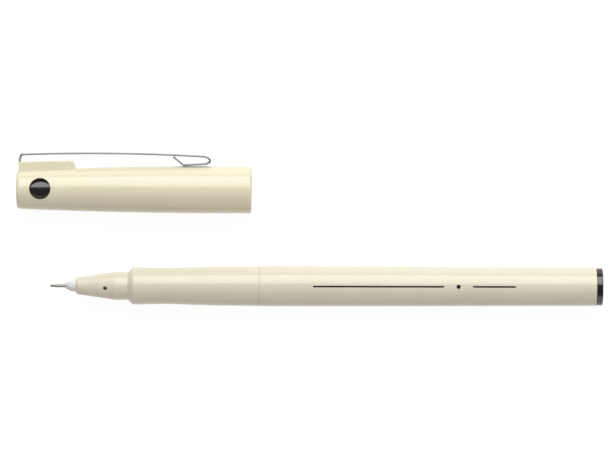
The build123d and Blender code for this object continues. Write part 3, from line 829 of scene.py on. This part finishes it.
edge_in = quarter_round(BLOCK_EDGE, BLOCK_EDGE_STEPS)
back_in = quarter_round(BLOCK_BACK_EDGE, BLOCK_BACK_STEPS)
block_middle = np.linspace(BLOCK_START + BLOCK_EDGE, BLOCK_END - BLOCK_BACK_EDGE, BLOCK_ROWS)[1:-1]
front_along = np.concatenate([BLOCK_START + edge_in, [NOTCH_END]])
back_along = np.concatenate([[NOTCH_END], block_middle, BLOCK_END - back_in[::-1]])
crown_half = np.linspace(BLOCK_HALF - BLOCK_EDGE, 0, CROWN_COLUMNS)[1:]
half_across = np.concatenate([BLOCK_HALF - edge_in, [SLOT_HALF, SLOT_HALF], crown_half])
block_across = np.concatenate([-half_across[:-1], half_across[::-1]])
dip = (len(edge_in) + 1, len(block_across) - len(edge_in) - 2)
dipped = slice(dip[0], dip[1] + 1)
front_loops = block_loops(front_along, block_across)
front_loops[:, dipped, 1] = NOTCH_FLOOR
back_loops = block_loops(back_along, block_across)
slot_loops = np.repeat(back_loops[:1], 4, axis=0)
slot_loops[1:3, dipped, 0] = SLOT_END
slot_loops[:2, dipped, 1] = SLOT_HEIGHT - SLOT_HALF_HEIGHT
slot_loops[2:, dipped, 1] = SLOT_HEIGHT + SLOT_HALF_HEIGHT
placed_loops = [loops + cap_line for loops in (front_loops, slot_loops, back_loops)]
block = notched("cream_clip_block", *placed_loops, dip, cap_finish)
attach(block, "cap")

# Clip: one bent strip of bright spring steel. Its tongue is pushed into the block, it turns back over the
# cap in a shallow bow, curls under at the end and rests on the cap with a short turned-up leg.
arm_lo, arm_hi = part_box("clip_arm")
STRIP_T = 0.42 * MM
STRIP_EDGE = 0.035 * MM
STRIP_EDGE_STEPS = 4
STRIP_STEP = 0.4 * MM
STRIP_CREASE = 40.0
strip_half = (arm_hi.z - arm_lo.z) / 2
TONGUE_END = 11.95 * MM
ROOT_CORNER = 0.63 * MM
ROOT_R = 0.3 * MM
ROOT_KNEE = 1.3 * MM
ROOT_KNEE_R = 0.6 * MM
ROOT_ROUND_STEPS = 14
BEND_RUN = 0.47 * MM
BEND_R = 0.36 * MM
BOW_R = 460.0 * MM
BOW_START = 1.5 * MM
BOW_END = 44.37 * MM
BOW_CROWN_PLACE = 18.5 * MM
BOW_POINTS = 70
bow_crown = (BOW_CROWN_PLACE, arm_hi.y - cap_line[1] - STRIP_T / 2)
EASE_R = 2.2 * MM
CURL_R = 0.465 * MM
CURL_HEADINGS = (math.radians(45), math.radians(143), math.radians(177))
LEG_LENGTH = 4.95 * MM
KINK_R = 0.4 * MM
KINK_ROUND_STEPS = 10
FREE_LEG = np.array([-2.38 * MM, 1.94 * MM])
CLIP_COLOURS = ((0.47, 0.465, 0.455), (0.42, 0.415, 0.405))
CLIP_ROUGHNESS = (0.44, 0.52)
CLIP_STREAKS = (260, 900, 9000)
CLIP_GRAIN = 0.0001 * MM
# Darkened spots on the strip, at its bend by the root and in the curl.
BEND_DARKENING = (0.5 * MM, 0.5 * MM, 0.55)  # reach along, reach across and depth, as for the other darkened spots
CURL_DARKENING = (1.1 * MM, 1.1 * MM, 0.55)
# Painted shade on the free leg, and a painted shadow at its tip, where it nearly touches the bow.
FREE_LEG_SHADE_SHARE = 0.3
FREE_LEG_SHADE = (0.8 * MM, 0.6 * MM, 0.4)
TIP_SHADOW_SHARE = 0.9
TIP_SHADOW = (0.7 * MM, 0.45 * MM, 0.65)
# Painted contact shadow under the resting leg: a row of dark spots along the cap's side, laid on the strip
# and, at a share of the depth, on the cap.
CONTACT_SHADOW = (0.8 * MM, 0.2 * MM, 0.95)
CONTACT_SHADOW_STEP = 0.5 * MM
CONTACT_SHADOW_FROM_KINK = 0.2 * MM
CONTACT_SHADOW_PAST_BOW = 0.3 * MM
CAP_CONTACT_SHADOW_SHARE = 0.7


def turn_down(start, heading, last_heading, radius, steps=14):
    """Downward bend: each point moves on by radius times the change of its heading's sine and cosine."""
    swing = np.linspace(heading, last_heading, steps + 1)
    change = np.stack([np.sin(swing) - math.sin(heading), np.cos(swing) - math.cos(heading)], axis=1)
    return np.array(start) + radius * change


def strip_along(name, path, thickness, half_width, edge, line, finish):
    """Flat strip: a rounded rectangle is carried along the path, its thin side along the path's normal."""
    heading = np.gradient(path, axis=0)
    heading /= np.linalg.norm(heading, axis=1)[:, None]
    normal = np.stack([-heading[:, 1], heading[:, 0]], axis=1)
    turn = np.linspace(0, math.pi / 2, STRIP_EDGE_STEPS + 1)
    centre_t, centre_w = thickness / 2 - edge, half_width - edge
    corner = np.stack([centre_t + edge * np.cos(turn), centre_w + edge * np.sin(turn)], axis=1)
    section = np.concatenate([corner, corner[::-1] * [-1, 1], -corner, corner[::-1] * [1, -1]])
    flat = path[:, None] + normal[:, None] * section[None, :, :1]
    across = np.broadcast_to(section[None, :, 1:], flat.shape[:2] + (1,))
    points = np.concatenate([flat, across], axis=-1) + line
    rows, columns = points.shape[:2]
    faces = grid_faces(rows, columns, False).reshape(-1, 4).tolist() + end_faces(rows, columns)
    return make_piece(name, points.reshape(-1, 3), faces, finish, STRIP_CREASE)


def mark_darkening(made, spots):
    """Darkening of a mesh, from 0 to 1: the most of each spot's depth times a bell curve of distance over
    reach.

    A spot is its place, its reach along and across, and its depth.
    """
    points = np.empty(3 * len(made.data.vertices))
    made.data.vertices.foreach_get("co", points)
    points = points.reshape(-1, 3)[:, None, :2]
    place, reach, depth = spots[None, :, :2], spots[None, :, 2:4], spots[None, :, 4]
    darkening = depth * np.exp(-np.sum(((points - place) / reach) ** 2, axis=-1))
    made.data.attributes.new("darkening", "FLOAT", "POINT").data.foreach_set("value", darkening.max(axis=1))


def darken_by_marks(finish):
    """Scales a finish's colour by one less the darkening marked on its mesh: painted shade, and darker spots.
    """
    nodes, links = finish.node_tree.nodes, finish.node_tree.links
    shader = nodes["Principled BSDF"]
    unmarked = shader.inputs["Base Color"].links[0].from_socket
    mark_reading = nodes.new("ShaderNodeAttribute")
    mark_reading.attribute_name = "darkening"
    left = nodes.new("ShaderNodeMath")
    left.operation = "SUBTRACT"
    left.inputs[0].default_value = 1.0
    links.new(mark_reading.outputs["Fac"], left.inputs[1])
    shade = nodes.new("ShaderNodeVectorMath")
    shade.operation = "SCALE"
    links.new(unmarked, shade.inputs[0])
    links.new(left.outputs["Value"], shade.inputs["Scale"])
    links.new(shade.outputs["Vector"], shader.inputs["Base Color"])


bow_first = math.asin((BOW_START - bow_crown[0]) / BOW_R)
bow_last = math.asin((BOW_END - bow_crown[0]) / BOW_R)
bow_turn = np.linspace(bow_first, bow_last, BOW_POINTS)
bow_path = bow_crown + BOW_R * np.stack([np.sin(bow_turn), np.cos(bow_turn) - 1], axis=1)
bend_corner = bow_path[0] - BEND_RUN * np.array([math.cos(bow_first), -math.sin(bow_first)])
root_path = rounded(
    [
        (TONGUE_END, SLOT_HEIGHT),
        (ROOT_CORNER, SLOT_HEIGHT),
        (ROOT_CORNER, SLOT_HEIGHT + ROOT_KNEE),
        bend_corner,
        bow_path[0],
    ],
    [ROOT_R, ROOT_KNEE_R, BEND_R],
    ROOT_ROUND_STEPS,
)
ease_in = turn_down(bow_path[-1], bow_last, CURL_HEADINGS[0], EASE_R)
curl_path = turn_down(ease_in[-1], CURL_HEADINGS[0], CURL_HEADINGS[1], CURL_R)
ease_out = turn_down(curl_path[-1], CURL_HEADINGS[1], CURL_HEADINGS[2], EASE_R)
kink = ease_out[-1] + LEG_LENGTH * np.array([math.cos(CURL_HEADINGS[2]), -math.sin(CURL_HEADINGS[2])])
leg_path = rounded([ease_out[-1], kink, kink + FREE_LEG], [KINK_R], KINK_ROUND_STEPS)
stretches = [path[:-1] for path in (root_path, bow_path, ease_in, curl_path, ease_out)]
strip_path = even_steps(np.concatenate(stretches + [leg_path]), STRIP_STEP)
clip_finish = steel_finish("bright_spring_steel", CLIP_COLOURS, CLIP_ROUGHNESS, CLIP_STREAKS, CLIP_GRAIN)
# The strip's colour is darkened by its marks: painted shade and shadow on the leg, and darker spots at the
# bend and curl.
darken_by_marks(clip_finish)
clip = strip_along("steel_clip", strip_path, STRIP_T, strip_half, STRIP_EDGE, cap_line, clip_finish)
# Darkened spots on the strip: at the bend and in the curl, painted shade on the free leg and a painted shadow
# at its tip.
darkened_places = (
    (bend_corner, BEND_DARKENING),
    (curl_path[len(curl_path) // 2], CURL_DARKENING),
    (kink + FREE_LEG_SHADE_SHARE * FREE_LEG, FREE_LEG_SHADE),
    (kink + TIP_SHADOW_SHARE * FREE_LEG, TIP_SHADOW),
)
darkened_spots = np.array([(*(cap_line[:2] + place), *darkening) for place, darkening in darkened_places])
# The painted contact shadow's spots run along the cap's outside, from just past the kink to past the bow's
# end.
contact_shadow_along = np.arange(kink[0] + CONTACT_SHADOW_FROM_KINK, BOW_END + CONTACT_SHADOW_PAST_BOW, CONTACT_SHADOW_STEP)
contact_shadow_side = np.interp(contact_shadow_along, cap_outside[:, 0], cap_outside[:, 1])
contact_shadow_place = cap_line[:2] + np.stack([contact_shadow_along, contact_shadow_side], axis=1)
contact_shadow_spots = np.concatenate([contact_shadow_place, np.full((len(contact_shadow_along), 3), CONTACT_SHADOW)], axis=1)
mark_darkening(clip, np.concatenate([darkened_spots, contact_shadow_spots]))
# The cap shell takes the same painted contact shadow into its colour, at a share of the depth.
mark_darkening(shell, contact_shadow_spots * [1, 1, 1, 1, CAP_CONTACT_SHADOW_SHARE])
darken_by_marks(cap_finish)
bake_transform(clip)
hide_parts("clip_root", "clip_arm")

# Table: a plain white sweep that curves up on all sides, lit like the rest and bright to the eye.
# It carries the pen and the cap and shows only their soft shadows.
FLOOR_FLAT = 3.0
FLOOR_BEND = 0.3
FLOOR_BEND_ROWS = 24
FLOOR_AROUND = 96
FLOOR_COLOUR = (0.88, 0.88, 0.88, 1)
FLOOR_SEEN_COLOUR = (0.1, 0.1, 0.1, 1)
FLOOR_SEEN_GLOW = 0.95
sweep = np.linspace(0, math.pi / 2, FLOOR_BEND_ROWS)
sweep_side = np.stack([FLOOR_FLAT + FLOOR_BEND * np.sin(sweep), FLOOR_BEND * (1 - np.cos(sweep))], axis=1)
sweep_rows = np.concatenate([[(0, 0)], sweep_side])
sweep_angle = np.linspace(0, 2 * math.pi, FLOOR_AROUND, endpoint=False)
sweep_points = np.stack(
    [
        sweep_rows[:, :1] * np.cos(sweep_angle),
        sweep_rows[:, :1] * np.sin(sweep_angle),
        np.broadcast_to(sweep_rows[:, 1:], (len(sweep_rows), len(sweep_angle))),
    ],
    axis=-1,
)
white_sweep = bpy.data.materials.new("white_sweep")
white_sweep.use_nodes = True
sweep_nodes, sweep_links = white_sweep.node_tree.nodes, white_sweep.node_tree.links
sweep_nodes.remove(sweep_nodes["Principled BSDF"])
lit_floor = sweep_nodes.new("ShaderNodeBsdfDiffuse")
lit_floor.inputs["Color"].default_value = FLOOR_COLOUR
seen_floor = sweep_nodes.new("ShaderNodeBsdfDiffuse")
seen_floor.inputs["Color"].default_value = FLOOR_SEEN_COLOUR
glow = sweep_nodes.new("ShaderNodeEmission")
glow.inputs["Strength"].default_value = FLOOR_SEEN_GLOW
seen = sweep_nodes.new("ShaderNodeAddShader")
sweep_links.new(seen_floor.outputs["BSDF"], seen.inputs[0])
sweep_links.new(glow.outputs["Emission"], seen.inputs[1])
rays = sweep_nodes.new("ShaderNodeLightPath")
seeing_ray = rays.outputs["Is Camera Ray"]
for ray_kind in ("Is Glossy Ray", "Is Transmission Ray"):
    either = sweep_nodes.new("ShaderNodeMath")
    either.operation = "MAXIMUM"
    sweep_links.new(seeing_ray, either.inputs[0])
    sweep_links.new(rays.outputs[ray_kind], either.inputs[1])
    seeing_ray = either.outputs["Value"]
choose = sweep_nodes.new("ShaderNodeMixShader")
sweep_links.new(seeing_ray, choose.inputs["Fac"])
sweep_links.new(lit_floor.outputs["BSDF"], choose.inputs[1])
sweep_links.new(seen.outputs["Shader"], choose.inputs[2])
sweep_links.new(choose.outputs["Shader"], sweep_nodes["Material Output"].inputs["Surface"])
sweep_faces = grid_faces(len(sweep_rows), len(sweep_angle), False).reshape(-1, 4).tolist()
table = make_piece("white_table", sweep_points.reshape(-1, 3), sweep_faces, white_sweep)

# Light: a soft box beyond the cap in two halves, the lower one brighter, a dim and faintly rosy panel on the
# near side, and an even dim room. A panel is its angle from straight above, its place along the pen, its
# width and height, its radiance and its tint, and each stands at the same distance and faces the table.
PANEL_DISTANCE = 0.9
PANELS = (
    ("low_box", 54.0, 0.1, (0.89, 0.4156), 4.05, (1, 1, 1)),
    ("high_box", 28.5, 0.1, (0.89, 0.399), 3.8, (1, 1, 1)),
    ("near_panel", -72.0, 0.0, (1.3, 0.55), 0.95, (1, 0.91, 0.94)),
)
ROOM_COLOUR = (1, 1, 1, 1)
ROOM_LEVEL = 0.17
for panel_name, angle, along, size, radiance, tint in PANELS:
    tilt = math.radians(angle)
    lamp = bpy.data.lights.new(panel_name, "AREA")
    lamp.shape = "RECTANGLE"
    lamp.size, lamp.size_y = size
    lamp.energy = radiance * math.pi * size[0] * size[1]
    lamp.color = tint
    panel = bpy.data.objects.new(panel_name, lamp)
    panel.location = (along, PANEL_DISTANCE * math.sin(tilt), PANEL_DISTANCE * math.cos(tilt))
    panel.rotation_euler = (-tilt, 0, 0)
    panel.visible_camera = False
    bpy.context.scene.collection.objects.link(panel)
room = bpy.data.worlds.new("dim_room")
room.use_nodes = True
room_light = room.node_tree.nodes["Background"]
room_light.inputs["Color"].default_value = ROOM_COLOUR
room_light.inputs["Strength"].default_value = ROOM_LEVEL
bpy.context.scene.world = room

# Camera: straight down on the pen from a little over a metre, as in a catalogue picture.
# Its place is measured from the pen's point, and its lens takes in the picture's width at the pen's height.
EYE_HEIGHT = 1.055
EYE_PLACE = (60.71 * MM, 13.655 * MM)
EYE_ROLL = math.radians(0.12)
PICTURE_WIDTH = 145.4 * MM
SENSOR = 36.0
eye_data = bpy.data.cameras.new("eye")
eye_data.sensor_width = SENSOR
eye_data.lens = SENSOR * (EYE_HEIGHT - pen_line[2]) / PICTURE_WIDTH
eye = bpy.data.objects.new("eye", eye_data)
eye.location = (pen_line[0] + EYE_PLACE[0], pen_line[1] + EYE_PLACE[1], EYE_HEIGHT)
eye.rotation_euler = (0, 0, EYE_ROLL)
bpy.context.scene.collection.objects.link(eye)
bpy.context.scene.camera = eye
bpy.context.scene.view_settings.view_transform = "Standard"
